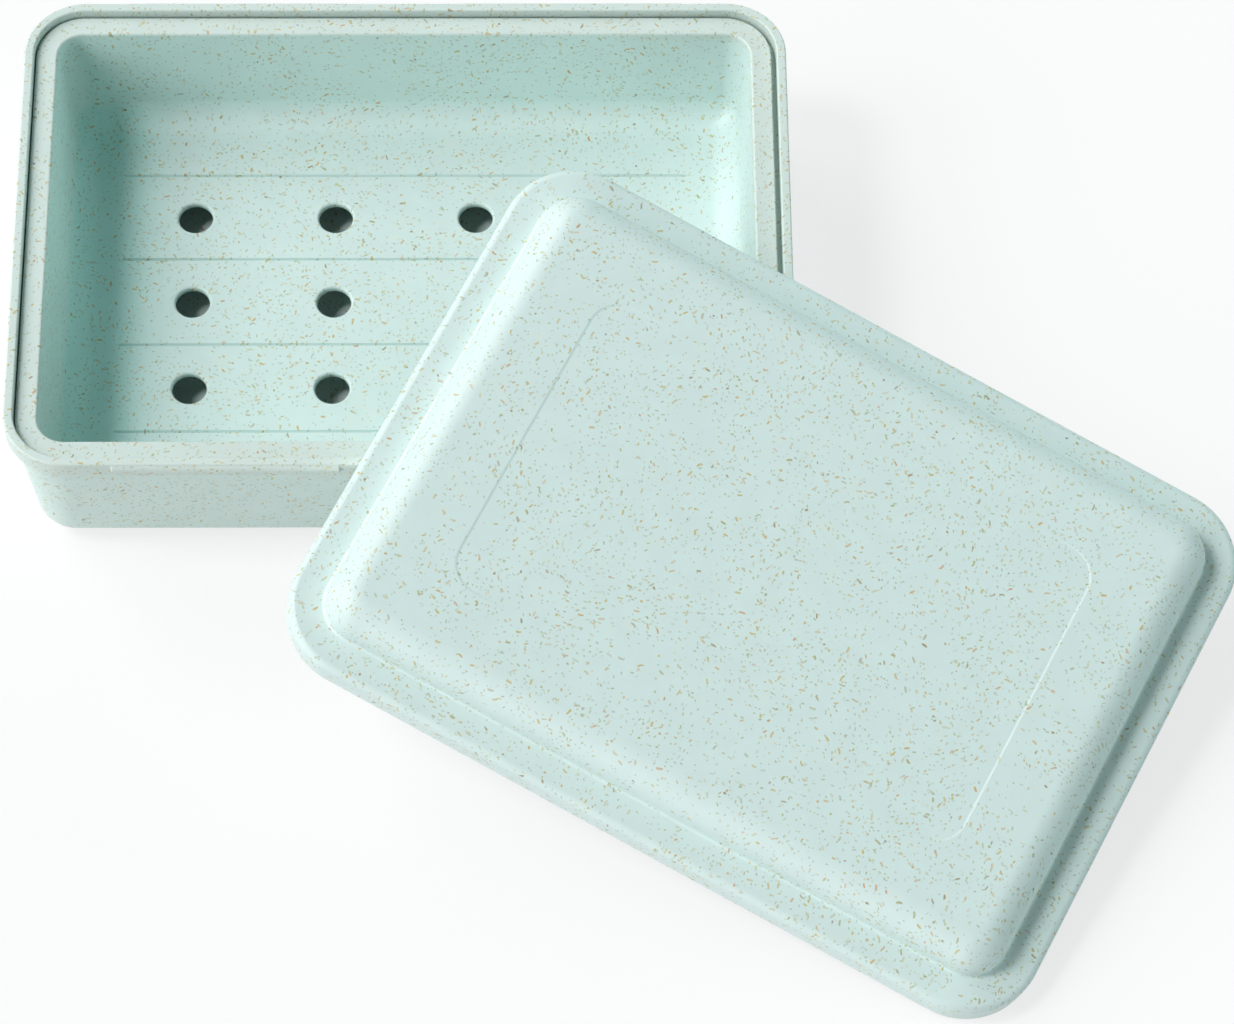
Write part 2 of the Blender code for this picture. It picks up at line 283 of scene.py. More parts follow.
class PlasticLook(bpy.types.PropertyGroup):
    base_colour: FloatVectorProperty(
        name="Base colour", description="Ground colour of the base",
        default=(0.645, 0.785, 0.75), subtype="COLOR",
    )
    tray_colour: FloatVectorProperty(
        name="Tray colour", description="Ground colour of the drain tray",
        default=(0.635, 0.775, 0.75), subtype="COLOR",
    )
    rim_colour: FloatVectorProperty(
        name="Rim colour", description="Colour of the rim and the flange",
        default=(0.64, 0.74, 0.705), subtype="COLOR",
    )
    # Painted shade: a greener tint on the tray's walls, full at the left-hand end and fading to the right
    wall_painted_shade: FloatVectorProperty(
        name="Wall painted shade", description="Painted shade: greener colour of the tray's walls",
        default=(0.66, 0.85, 0.815), subtype="COLOR",
    )
    # Painted shade: a deeper teal at the left-hand end of the tray's floor, at the foot of its shaded wall
    foot_painted_shade: FloatVectorProperty(
        name="Foot painted shade", description="Painted shade: deeper colour of the left-hand end of the tray's floor",
        default=(0.51, 0.83, 0.79), subtype="COLOR",
    )
    lid_colour: FloatVectorProperty(
        name="Lid colour", description="Ground colour of the lid",
        default=(0.66, 0.795, 0.778), subtype="COLOR",
    )
    roughness: FloatProperty(
        name="Roughness", description="Middle of the satin finish",
        default=0.48, min=0, max=1, subtype="FACTOR",
    )
    fleck_strength: FloatProperty(
        name="Flecks", description="How strongly the flecks show",
        default=1.0, min=0, max=2, subtype="FACTOR",
    )
    fleck_share: FloatProperty(
        name="Fleck share", description="How many of the flecks are there",
        default=1.0, min=0, max=2, subtype="FACTOR",
    )


class StageLook(bpy.types.PropertyGroup):
    focal_length: FloatProperty(
        name="Focal length", description="Camera lens in millimetres",
        default=146.95, subtype="NONE", precision=2,
    )
    distance: FloatProperty(
        name="Distance", description="Camera from its target",
        default=0.7848, unit="LENGTH", precision=4,
    )
    target: FloatVectorProperty(
        name="Target", description="What the camera looks at",
        default=(0.03301, -0.03424, 0), subtype="TRANSLATION",
    )
    yaw: FloatProperty(
        name="Yaw", description="Camera's turn about the vertical",
        default=math.radians(-1.82), subtype="ANGLE",
    )
    elevation: FloatProperty(
        name="Elevation", description="Camera above the horizon",
        default=math.radians(59.42), subtype="ANGLE",
    )
    roll: FloatProperty(
        name="Roll", description="Camera's tilt in the picture",
        default=math.radians(1.45), subtype="ANGLE",
    )
    fill: FloatProperty(
        name="Fill", description="Strength of the light from all round",
        default=0.03, min=0,
    )
    daylight: FloatProperty(
        name="Daylight", description="Strength of all the soft lights",
        default=1.0, min=0,
    )
    softness: FloatProperty(
        name="Softness", description="Angular size of the lights, as a factor",
        default=1.0, min=0,
    )
    floor_colour: FloatVectorProperty(
        name="Floor colour", description="Colour of the floor",
        default=(0.90, 0.90, 0.90), subtype="COLOR",
    )


def rounded_outline(corners):
    """The points along straight runs between corners, each corner an arc of its own radius.

    The first and last corners only give the direction in which the outline starts and ends."""
    points = []
    for before, corner, after in zip(corners, corners[1:], corners[2:]):
        at = Vector(corner[:2])
        radius = corner[2]
        if not radius:
            points.append(at)
            continue
        back = (Vector(before[:2]) - at).normalized()
        ahead = (Vector(after[:2]) - at).normalized()
        half = back.angle(ahead) / 2
        centre = at + (back + ahead).normalized() * radius / math.sin(half)
        start = at + back * radius / math.tan(half) - centre
        end = at + ahead * radius / math.tan(half) - centre
        sweep = start.angle_signed(end)
        for step in range(FILLET_STEPS + 1):
            points.append(centre + Matrix.Rotation(-sweep * step / FILLET_STEPS, 2) @ start)
    return points


def rounded_rectangle(length, width, corner, height, run=0):
    """Points in order round a level rounded rectangle, with an arc at each corner.

    The run is the number of points added along each long side."""
    points = []
    for quarter, (side_x, side_y) in enumerate(((1, 1), (-1, 1), (-1, -1), (1, -1))):
        for step in range(CORNER_STEPS + 1):
            angle = math.pi / 2 * (quarter + step / CORNER_STEPS)
            x = side_x * (length / 2 - corner) + corner * math.cos(angle)
            y = side_y * (width / 2 - corner) + corner * math.sin(angle)
            points.append((x, y, height))
        if run and quarter in (0, 2):
            reach = length / 2 - corner
            for step in range(1, run + 1):
                points.append((side_x * reach * (1 - 2 * step / (run + 1)), y, height))
    return points


def loft(*skins):
    """A mesh of closed skins, each one through its rings of equally many points and capped at both ends."""
    mesh = bmesh.new()
    for rings in skins:
        loops = [[mesh.verts.new(point) for point in ring] for ring in rings]
        for low, high in zip(loops, loops[1:]):
            for index in range(len(low)):
                following = (index + 1) % len(low)
                mesh.faces.new((low[index], low[following], high[following], high[index]))
        mesh.faces.new(loops[0])
        mesh.faces.new(loops[-1])
    bmesh.ops.recalc_face_normals(mesh, faces=mesh.faces)
    return mesh


def ease(share):
    """0 at 0 and 1 at 1, with an easy start and end."""
    return share * share * (3 - 2 * share)


def carried_round(outline, length, width, corner, run=0):
    """The rings of an outline carried round a rounded rectangle that narrows with the inset."""
    rings = []
    for inset, height in rounded_outline(outline):
        ring_corner = max(corner - inset, TIGHTEST_CORNER)
        rings.append(rounded_rectangle(length - 2 * inset, width - 2 * inset, ring_corner, height, run))
    return rings


def new_object(name, mesh):
    data = bpy.data.meshes.new(name)
    mesh.to_mesh(data)
    mesh.free()
    thing = bpy.data.objects.new(name, data)
    bpy.context.scene.collection.objects.link(thing)
    return thing


def seat_height(base, tray):
    """The height at which the tray's flange rests."""
    return base.height - tray.flange_sink - tray.wall


def mirrored_bars(name, length, place):
    """Four round bars along X with rounded ends, mirrored to both halves and both sides."""
    mesh = bmesh.new()
    along_x = Matrix.Rotation(math.pi / 2, 4, "Y")
    for side_x in (1, -1):
        for side_y in (1, -1):
            bar = bmesh.new()
            bmesh.ops.create_cone(
                bar,
                cap_ends=True,
                segments=BEAD_STEPS,
                radius1=BEAD_RADIUS,
                radius2=BEAD_RADIUS,
                depth=length,
                matrix=along_x,
            )
            ends = [edge for edge in bar.edges if abs(edge.verts[0].co.x - edge.verts[1].co.x) < length / 2]
            bmesh.ops.bevel(
                bar,
                geom=ends,
                offset=BEAD_END_ROUND,
                segments=BEAD_END_STEPS,
                profile=ROUND_PROFILE,
                affect="EDGES",
            )
            bmesh.ops.translate(bar, verts=bar.verts, vec=(place[0] * side_x, place[1] * side_y, place[2]))
            data = bpy.data.meshes.new(name)
            bar.to_mesh(data)
            bar.free()
            mesh.from_mesh(data)
            bpy.data.meshes.remove(data)
    return new_object(name, mesh)


def combine(thing, tools, operation):
    """Cuts or joins the tools and keeps only the result."""
    for tool in tools:
        modifier = thing.modifiers.new(tool.name, "BOOLEAN")
        modifier.operation = operation
        modifier.solver = "EXACT"
        modifier.object = tool
    bpy.context.view_layer.update()
    evaluated = thing.evaluated_get(bpy.context.evaluated_depsgraph_get())
    result = bpy.data.meshes.new_from_object(evaluated)
    thing.modifiers.clear()
    plain = thing.data
    thing.data = result
    bpy.data.meshes.remove(plain)
    for tool in tools:
        bpy.data.objects.remove(tool, do_unlink=True)


def polish(thing, node, body, material):
    """Smooth shading, the finish, a check that it lies where the node does, and the body that it rides on."""
    thing.data.shade_smooth()
    thing.data.set_sharp_from_angle(angle=SHARP_FROM)
    smooth = thing.modifiers.new("even_normals", "WEIGHTED_NORMAL")
    smooth.keep_sharp = True
    thing.data.materials.clear()
    thing.data.materials.append(material)
    thing.data.transform(thing.matrix_basis)
    thing.matrix_basis = Matrix.Identity(4)
    corners = [vertex.co for vertex in thing.data.vertices]
    for side, wanted in zip((min, max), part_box(node)):
        for axis in range(3):
            miss = side(corner[axis] for corner in corners) - wanted[axis]
            if abs(miss) > FIT_TOLERANCE:
                raise RuntimeError(f"{thing.name} misses {node} by {miss:.5f} m along axis {axis}")
    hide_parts(node)
    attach(thing, body)


class Wire:
    """A value, colour or vector on its way through a material, so that shader maths reads as arithmetic."""

    def __init__(self, finish, socket):
        self.finish = finish
        self.socket = socket

    @property
    def kind(self):
        return self.socket.type

    def _with(self, operation, other, turned=False):
        first, second = (other, self) if turned else (self, other)
        return self.finish.join(operation, first, second)

    def __add__(self, other):
        return self._with("ADD", other)

    def __radd__(self, other):
        return self._with("ADD", other, True)

    def __sub__(self, other):
        return self._with("SUBTRACT", other)

    def __rsub__(self, other):
        return self._with("SUBTRACT", other, True)

    def __mul__(self, other):
        return self._with("MULTIPLY", other)

    def __rmul__(self, other):
        return self._with("MULTIPLY", other, True)

    def __truediv__(self, other):
        return self._with("DIVIDE", other)

    def __rtruediv__(self, other):
        return self._with("DIVIDE", other, True)

    def __pow__(self, other):
        return self._with("POWER", other)

    def __lt__(self, other):
        return self._with("LESS_THAN", other)

    def __gt__(self, other):
        return self._with("GREATER_THAN", other)

    def __neg__(self):
        return self._with("MULTIPLY", -1, True)

    def __abs__(self):
        return self.maths("ABSOLUTE")

    def maths(self, operation, *others):
        inputs = dict(enumerate((self, *others)))
        return self.finish.node("ShaderNodeMath", {"operation": operation}, inputs)[0]

    def vectors(self, operation, *others):
        inputs = dict(enumerate((self, *others)))
        result = self.finish.node("ShaderNodeVectorMath", {"operation": operation}, inputs)
        return result["Value"] if operation == "DOT_PRODUCT" else result["Vector"]

    def dot(self, other):
        return self.vectors("DOT_PRODUCT", other)

    def cross(self, other):
        return self.vectors("CROSS_PRODUCT", other)

    def unit(self):
        return self.vectors("NORMALIZE")

    def fresh(self, factor):
        """Another random number from this one."""
        return (self * factor).maths("FRACT")

    def between(self, low, high):
        """0 at low and 1 at high, with an easy start and end."""
        return self.finish.node(
            "ShaderNodeMapRange",
            {"interpolation_type": "SMOOTHSTEP"},
            {"Value": self, "From Min": low, "From Max": high},
        )["Result"]

    def toward(self, other, share):
        """This colour mixed with another by a share."""
        return self.finish.node("ShaderNodeMix", {"data_type": "RGBA"}, {0: share, 6: self, 7: other})[2]

    def parts(self):
        split = self.finish.node("ShaderNodeSeparateXYZ", {}, {"Vector": self})
        return split["X"], split["Y"], split["Z"]


class Outputs:
    """A node's outputs as wires, by name or number."""

    def __init__(self, finish, node):
        self.finish = finish
        self.node = node

    def __getitem__(self, key):
        return Wire(self.finish, self.node.outputs[key])


class Finish:
    """The nodes of a material or world, made in the order in which they are used."""

    def __init__(self, owner):
        self.owner = owner
        owner.use_nodes = True
        self.tree = owner.node_tree
        self.tree.nodes.clear()

    def node(self, kind, settings=None, inputs=None):
        """A node of that type: its settings come first, and then the values or links of its sockets."""
        made = self.tree.nodes.new(kind)
        for key, value in (settings or {}).items():
            if key == "stops":
                ramp = made.color_ramp.elements
                while len(ramp) < len(value):
                    ramp.new(1)
                for element, (position, colour) in zip(ramp, value):
                    element.position = position
                    element.color = (*colour, 1)
            elif key == "ramp":
                made.color_ramp.interpolation = value
            else:
                setattr(made, key, value)
        for key, value in (inputs or {}).items():
            socket = made.inputs[key]
            if isinstance(value, Wire):
                self.tree.links.new(value.socket, socket)
            elif socket.type == "RGBA" and len(value) == 3:
                socket.default_value = (*value, 1)
            else:
                socket.default_value = value
        return Outputs(self, made)

    def tint(self, colour):
        """A colour as a wire."""
        wire = self.node("ShaderNodeRGB")["Color"]
        wire.socket.default_value = (*colour, 1)
        return wire

    def join(self, operation, first, second):
        """An operator between two wires, or a wire and a number or a triple."""
        kinds = [item.kind if isinstance(item, Wire) else None for item in (first, second)]
        plain = [isinstance(item, (int, float)) for item in (first, second)]
        if "RGBA" in kinds:
            pair = [(item,) * 3 if flat else item for item, flat in zip((first, second), plain)]
            inputs = {0: 1.0, 6: pair[0], 7: pair[1]}
            return self.node("ShaderNodeMix", {"data_type": "RGBA", "blend_type": operation}, inputs)[2]
        if "VECTOR" in kinds:
            if operation == "MULTIPLY" and (plain[1] or kinds[1] == "VALUE"):
                inputs = {0: first, "Scale": second}
                return self.node("ShaderNodeVectorMath", {"operation": "SCALE"}, inputs)["Vector"]
            pair = [(item,) * 3 if flat else item for item, flat in zip((first, second), plain)]
            made = self.node("ShaderNodeVectorMath", {"operation": operation}, {0: pair[0], 1: pair[1]})
            return made["Vector"]
        return self.node("ShaderNodeMath", {"operation": operation}, {0: first, 1: second})[0]

    def noise(self, place, scale, detail, roughness, shift):
        """Soft noise with features about 1 / scale across, moved by the shift, as a value and a colour."""
        return self.node(
            "ShaderNodeTexNoise",
            {"noise_dimensions": "3D"},
            {"Vector": place + shift, "Scale": scale, "Detail": detail, "Roughness": roughness},
        )


def background_rays(finish):
    """1 where the background itself is seen: directly, in a reflection or through something clear."""
    rays = finish.node("ShaderNodeLightPath")
    seen = rays["Is Camera Ray"] + rays["Is Glossy Ray"] + rays["Is Transmission Ray"]
    return seen.maths("MINIMUM", 1.0)


# Soft lights: name, direction round the box from its right-hand end, height above the horizon, angular
# size, all in degrees, share and colour. Those from the far and the right-hand side are a little green,
# as light is that has passed through the thin plastic or comes back from it.
WHITE = (1.0, 1.0, 1.0)
PALE_GREEN = (0.72, 1.0, 0.98)
SOFT_LIGHTS = (
    ("window_far_left", 141, 41, 35, 0.38, WHITE),
    ("window_left", 194, 41, 30, 0.32, WHITE),
    ("skylight_left", 187, 59, 14, 0.37, WHITE),
    ("window_far", 90, 40, 35, 0.06, PALE_GREEN),
    ("low_card_far", 90, 15, 35, 0.07, PALE_GREEN),
    ("low_card_near_left", 232, 15, 35, 0.27, WHITE),
    ("card_near_right", 315, 40, 35, 0.03, PALE_GREEN),
    ("low_card_right", 8, 8, 24, 0.28, PALE_GREEN),
)

# The plastic's pattern is laid out in millimetres
MILLIMETRES = 1000.0

# Soft noises of the plastic: features to a millimetre, detail, roughness and a shift that keeps them apart
NOISES = {
    "flow": (0.045, 1.0, 0.5, 0.0),
    "crowd": (0.11, 2.0, 0.5, 31.7),
    "mottle": (0.22, 3.0, 0.5, 7.1),
    "warmth": (0.30, 2.0, 0.5, 57.3),
    "grain": (2.6, 4.0, 0.6, 0.0),
    "waves": (0.7, 2.0, 0.5, 0.0),
    "sheen": (0.5, 2.0, 0.5, 91.3),
}
MIDDLE_GREY = (0.5, 0.5, 0.5)

# The ground's light and dark mottle, and its warmer clouds
MOTTLE_RANGE = (0.3, 0.7)
MOTTLE_SHARE = 0.028
MOTTLE_DARKEST = 0.985
WARM_RANGE = (0.55, 0.75)
WARM_TINT = (1.03, 0.985, 0.95)
WARM_SHARE = 0.6

# How far the grain, the sheen and a fleck move the roughness
GRAIN_DULLNESS = 0.10
SHEEN_DULLNESS = 0.06
FLECK_DULLNESS = 0.05

# The moulded texture, and how the plastic bends light
RELIEF_STRENGTH = 0.10
RELIEF_HEIGHT = 0.00004
PLASTIC_IOR = 1.49

# How strongly the flecks follow the flow of the plastic, and the share of them in sparse and crowded spots
FLOW_PULL = 3.2
CROWD_RANGE = (0.34, 0.66)
CROWD_LEAST = 0.42
CROWD_SPREAD = 1.2
CROWD_RIM = 0.35

# Flecks of one size: cell across, share of the cells that hold one, half lengths and half widths,
# all in millimetres, how deep a fleck may lie and still show, and how strongly it shows
FLECKS = {
    "fine": {
        "cell": 0.90, "share": 1.00, "long": (0.12, 0.34), "wide": (0.09, 0.14),
        "depth": 0.34, "show": (0.26, 0.72),
    },
    "strong": {
        "cell": 1.50, "share": 0.80, "long": (0.22, 0.58), "wide": (0.13, 0.20),
        "depth": 0.42, "show": (0.28, 0.85),
    },
    "dots": {
        "cell": 4.6, "share": 0.50, "long": (0.15, 0.26), "wide": (0.13, 0.19),
        "depth": 0.40, "show": (0.40, 0.80),
    },
}
LAYER_SHIFT = 13.7

# A fleck's own random numbers come from its cell's three by these factors
LOTS = {"bend": 23.1, "length": 17.3, "width": 29.7, "there": 41.9, "show": 11.7, "colour": 7.9}
STRONGEST_BEND = 0.9
MOSTLY_SHORT = 1.6
BLUNT_ENDS = 4
ROUND_SIDES = 2
SOFT_EDGE = (0.40, 1.20)
SOFT_DEPTH = 0.8

# Where the rim's tint and the tray's painted shade begin and end: heights and places along the box in
# millimetres, and how level a surface lies, from 0 upright to 1 level. The painted shade is full on the
# walls at the left-hand end, fades to the right, and deepens the floor's left-hand end
RIM_HEIGHTS = (25.0, 26.4)
LEVEL_RANGE = (0.20, 0.70)
WALL_FADE = (20.0, 56.0)
WALL_FADE_SHARE = 0.85
FOOT_REACH = (36.0, 49.0)
FOOT_HEIGHTS = (12.0, 20.0)

# Colours of the flecks, each with the share of them at which it begins
FLECK_COLOURS = (
    (0.00, (0.54, 0.42, 0.080)),
    (0.36, (0.56, 0.37, 0.070)),
    (0.62, (0.36, 0.36, 0.100)),
    (0.80, (0.30, 0.21, 0.060)),
    (0.90, (0.55, 0.28, 0.080)),
)
FINE_COLOURS = (
    (0.00, (0.34, 0.37, 0.110)),
    (0.40, (0.46, 0.40, 0.090)),
    (0.70, (0.27, 0.38, 0.180)),
    (0.88, (0.38, 0.29, 0.080)),
)
DOT_COLOURS = ((0.00, (0.16, 0.12, 0.17)), (0.50, (0.30, 0.14, 0.11)), (0.75, (0.35, 0.22, 0.07)))


def fleck_layer(finish, place, facing, flow, size, colours, share, shift):
    """The mask and colour of one size of fleck: short bent dashes that lie along the surface."""
    cell = size["cell"]
    spot = place / cell + shift
    cells = finish.node(
        "ShaderNodeTexVoronoi",
        {"voronoi_dimensions": "3D", "feature": "F1"},
        {"Vector": spot, "Scale": 1.0, "Randomness": 1.0},
    )
    offset = (cells["Position"] - spot) * cell
    lot = finish.node("ShaderNodeSeparateColor", {}, {"Color": cells["Color"]})
    one, two, three = lot["Red"], lot["Green"], lot["Blue"]
    sunk = offset.dot(facing)
    flat = offset - facing * sunk
    wild = finish.node("ShaderNodeCombineXYZ", {}, {"X": one, "Y": two, "Z": three})["Vector"] - 0.5
    lie = wild + flow
    lie = (lie - facing * lie.dot(facing)).unit()
    along = flat.dot(lie)
    bend = (one.fresh(LOTS["bend"]) - 0.5) * STRONGEST_BEND
    side = flat.dot(facing.cross(lie)) + bend * along * along
    short, far = size["long"]
    thin, thick = size["wide"]
    length = two.fresh(LOTS["length"]) ** MOSTLY_SHORT * (far - short) + short
    width = three.fresh(LOTS["width"]) * (thick - thin) + thin
    reach = (along / length) ** BLUNT_ENDS + (side / width) ** ROUND_SIDES
    shape = 1 - reach.between(*SOFT_EDGE)
    near = 1 - abs(sunk).between(size["depth"] * SOFT_DEPTH, size["depth"])
    there = one.fresh(LOTS["there"]) < share * size["share"]
    faint, full = size["show"]
    show = two.fresh(LOTS["show"]) * (full - faint) + faint
    pick = three.fresh(LOTS["colour"])
    tint = finish.node("ShaderNodeValToRGB", {"stops": colours, "ramp": "CONSTANT"}, {"Fac": pick})
    return shape * near * there * show, tint["Color"]


def tray_painted_shade(place, facing):
    """Masks of painted shade on the tray's walls, fading to the right, and on the left-hand end of its floor.
    """
    x, _, z = place.parts()
    steep = 1 - abs(facing.dot((0, 0, 1))).between(*LEVEL_RANGE)
    # Painted shade on the walls, full at the left-hand end and fading to the right
    walls = steep * (1 - x.between(*WALL_FADE) * WALL_FADE_SHARE)
    # Painted shade on the floor at the foot of the left-hand wall, below the flange
    foot = (-x).between(*FOOT_REACH) * (1 - z.between(*FOOT_HEIGHTS))
    return walls, foot


def speckled_plastic(name, colour, look, rim_colour=None, painted_shade_colours=None):
    """Satin plastic with ochre and brown flecks, a faint mottle and a fine moulded texture.

    A rim colour is given where the piece has a rim, and painted shade colours, for the tray's walls and
    the left-hand end of its floor, a greener and deeper tint that stands in for shade there."""
    finish = Finish(bpy.data.materials.new(name))
    space = finish.node("ShaderNodeTexCoord")
    place = space["Object"] * MILLIMETRES
    facing = space["Normal"]
    noises = {kind: finish.noise(place, *settings) for kind, settings in NOISES.items()}
    values = {kind: noise["Fac"] for kind, noise in noises.items()}
    flow = noises["flow"]["Color"].vectors("SUBTRACT", MIDDLE_GREY) * FLOW_PULL
    crowd = (values["crowd"].between(*CROWD_RANGE) * CROWD_SPREAD + CROWD_LEAST) * look.fleck_share
    warm = values["warmth"].between(*WARM_RANGE)
    ground = finish.tint(colour)
    if rim_colour:
        rim = place.parts()[2].between(*RIM_HEIGHTS)
        ground = ground.toward(rim_colour, rim)
        crowd = crowd + rim * CROWD_RIM
    # Painted shade: greener walls and a deeper left-hand end of the floor, in the tray only
    if painted_shade_colours:
        wall_painted_shade, foot_painted_shade = painted_shade_colours
        walls, foot = tray_painted_shade(place, facing)
        ground = ground.toward(foot_painted_shade, foot).toward(wall_painted_shade, walls)
    ground = ground * (values["mottle"].between(*MOTTLE_RANGE) * MOTTLE_SHARE + MOTTLE_DARKEST)
    surface = ground.toward(ground * finish.tint(WARM_TINT), warm * WARM_SHARE)
    cover = None
    layers = (("fine", FINE_COLOURS), ("dots", DOT_COLOURS), ("strong", FLECK_COLOURS))
    for number, (layer, colours) in enumerate(layers):
        shift = number * LAYER_SHIFT
        mask, tint = fleck_layer(finish, place, facing, flow, FLECKS[layer], colours, crowd, shift)
        mask = mask * look.fleck_strength
        surface = surface.toward(tint, mask)
        cover = mask if cover is None else cover.maths("MAXIMUM", mask)
    uneven = (values["grain"] - 0.5) * GRAIN_DULLNESS + (values["sheen"] - 0.5) * SHEEN_DULLNESS
    roughness = look.roughness + uneven + cover * FLECK_DULLNESS
    relief = values["grain"] * 0.5 + values["waves"] * 0.5
    bump = finish.node(
        "ShaderNodeBump", {}, {"Strength": RELIEF_STRENGTH, "Distance": RELIEF_HEIGHT, "Height": relief}
    )
    shader = finish.node(
        "ShaderNodeBsdfPrincipled",
        {},
        {"Base Color": surface, "Roughness": roughness, "Normal": bump["Normal"], "IOR": PLASTIC_IOR},
    )
    finish.node("ShaderNodeOutputMaterial", {}, {"Surface": shader["BSDF"]})
    return finish.owner


class SOAPBOX_OT_base(bpy.types.Operator):
    """Build the base: drafted walls, rim band and snap beads"""

    bl_idname = "soapbox.base"
    bl_label = "Base"

    def execute(self, context):
        sizes = context.scene.soap_base
        look = context.scene.soap_plastic
        tray = context.scene.soap_tray
        outline = self.outline(sizes, tray)
        rings = carried_round(outline, sizes.rim_length, sizes.rim_width, sizes.rim_corner)
        base = new_object("base_moulding", loft(rings))
        combine(base, [self.beads(sizes)], "UNION")
        material = speckled_plastic("base_plastic_finish", look.base_colour, look, look.rim_colour)
        polish(base, "base", "base", material)
        return {"FINISHED"}

    @staticmethod
    def outline(sizes, tray):
        middle = sizes.rim_width / 2
        foot = BAND_OVERHANG + sizes.draft
        band_foot = sizes.height - BAND_HEIGHT
        ledge = seat_height(sizes, tray) - SEAT_GAP
        return (
            (middle, 0),
            (foot, 0, sizes.fillet),
            (BAND_OVERHANG, band_foot - BAND_COVE, EDGE_ROUND),
            (0, band_foot, EDGE_ROUND),
            (0, sizes.height, sizes.rim_round),
            (sizes.rim_thickness, sizes.height, sizes.rim_round),
            (sizes.rim_thickness, ledge, 0),
            (BAND_OVERHANG + sizes.wall, ledge, EDGE_ROUND),
            (foot + sizes.wall, sizes.floor, sizes.fillet - sizes.wall),
            (middle, sizes.floor),
        )

    @staticmethod
    def beads(sizes):
        """Round bars let into the rim's long sides, so that a sliver of each stands proud."""
        place = (BEAD_OFFSET, sizes.rim_width / 2 - BEAD_SINK, sizes.height - BEAD_DROP)
        return mirrored_bars("snap_beads", BEAD_LENGTH, place)


class SOAPBOX_OT_drain_tray(bpy.types.Operator):
    """Build the drain tray: flange, deep floor, soft-edged holes and fine floor lines"""

    bl_idname = "soapbox.drain_tray"
    bl_label = "Drain tray"

    def execute(self, context):
        base = context.scene.soap_base
        sizes = context.scene.soap_tray
        look = context.scene.soap_plastic
        ends = base.rim_thickness + sizes.end_gap
        sides = base.rim_thickness + sizes.side_gap
        top, under = self.floor_heights(base, sizes)
        rings = carried_round(
            self.outline(base, sizes, top, under),
            base.rim_length - 2 * ends,
            base.rim_width - 2 * sides,
            base.rim_corner - ends,
        )
        tray = new_object("drain_tray_moulding", loft(rings))
        combine(tray, [self.holes(sizes, top, under), self.grooves(sizes, top)], "DIFFERENCE")
        tray.location = (sizes.shift, 0, seat_height(base, sizes))
        # Painted shade colours for the tray's walls and the left-hand end of its floor
        painted_shades = (look.wall_painted_shade, look.foot_painted_shade)
        material = speckled_plastic("tray_plastic_painted_shade", look.tray_colour, look, look.rim_colour, painted_shades)
        polish(tray, "drain_tray", "drain_tray", material)
        return {"FINISHED"}

    @staticmethod
    def floor_heights(base, sizes):
        """The floor's upper and lower faces, from the flange's underside."""
        under = base.floor + WATER_GAP - seat_height(base, sizes)
        return under + sizes.wall, under

    @staticmethod
    def outline(base, sizes, top, under):
        middle = base.rim_width / 2 - base.rim_thickness - sizes.side_gap
        slope = base.draft / (seat_height(base, sizes) - SEAT_GAP - base.floor)
        base_wall = BAND_OVERHANG + base.draft + base.wall - WATER_GAP * slope
        outer_foot = base_wall + TRAY_WALL_GAP - base.rim_thickness - sizes.side_gap
        return (
            (middle, under),
            (outer_foot, under, TRAY_FILLET + sizes.wall),
            (sizes.flange_width - sizes.wall, 0, EDGE_ROUND),
            (0, 0, EDGE_ROUND),
            (0, sizes.wall, EDGE_ROUND),
            (sizes.flange_width, sizes.wall, TRAY_LIP_ROUND),
            (outer_foot + sizes.wall, top, TRAY_FILLET),
            (middle, top),
        )

    @staticmethod
    def holes(sizes, top, under):
        """Turned cutters that widen softly at both faces of the floor."""
        bore = sizes.hole_diameter / 2
        mouth = bore + HOLE_EDGE_ROUND + OVERRUN
        side = rounded_outline((
            (0, 0),
            (0, top + OVERRUN, 0),
            (mouth, top + OVERRUN, 0),
            (bore, top - HOLE_EDGE_ROUND, HOLE_EDGE_ROUND),
            (bore, under + HOLE_EDGE_ROUND, HOLE_EDGE_ROUND),
            (mouth, under - OVERRUN, 0),
            (0, under - OVERRUN, 0),
            (0, 0),
        ))
        turn = [2 * math.pi * step / HOLE_STEPS for step in range(HOLE_STEPS)]
        cutters = []
        for column in range(HOLE_COLUMNS):
            x = (column - (HOLE_COLUMNS - 1) / 2) * sizes.hole_pitch
            for row in range(HOLE_ROWS):
                y = (row - (HOLE_ROWS - 1) / 2) * sizes.row_pitch
                cutters.append([
                    [(x + across * math.cos(angle), y + across * math.sin(angle), height) for angle in turn]
                    for across, height in side[1:-1]
                ])
        return new_object("hole_cutters", loft(*cutters))

    @staticmethod
    def grooves(sizes, top):
        """Long cutters with a rounded bottom and soft shoulders that run out to nothing at both ends."""
        half = sizes.groove_width / 2
        section = (*((-across, down) for across, down in GROOVE_SIDE), (0, -1), *reversed(GROOVE_SIDE))
        stations = (*((-share, size) for share, size in GROOVE_END), *reversed(GROOVE_END))
        cutters = []
        for row in range(HOLE_ROWS + 1):
            middle = (row - HOLE_ROWS / 2) * sizes.row_pitch
            rings = []
            for share, size in stations:
                ring = []
                for across, down in section:
                    height = top + (down * sizes.groove_depth * size if down < 0 else OVERRUN)
                    ring.append((share * sizes.groove_length, middle + across * half * size, height))
                rings.append(ring)
            cutters.append(rings)
        return new_object("groove_cutters", loft(*cutters))


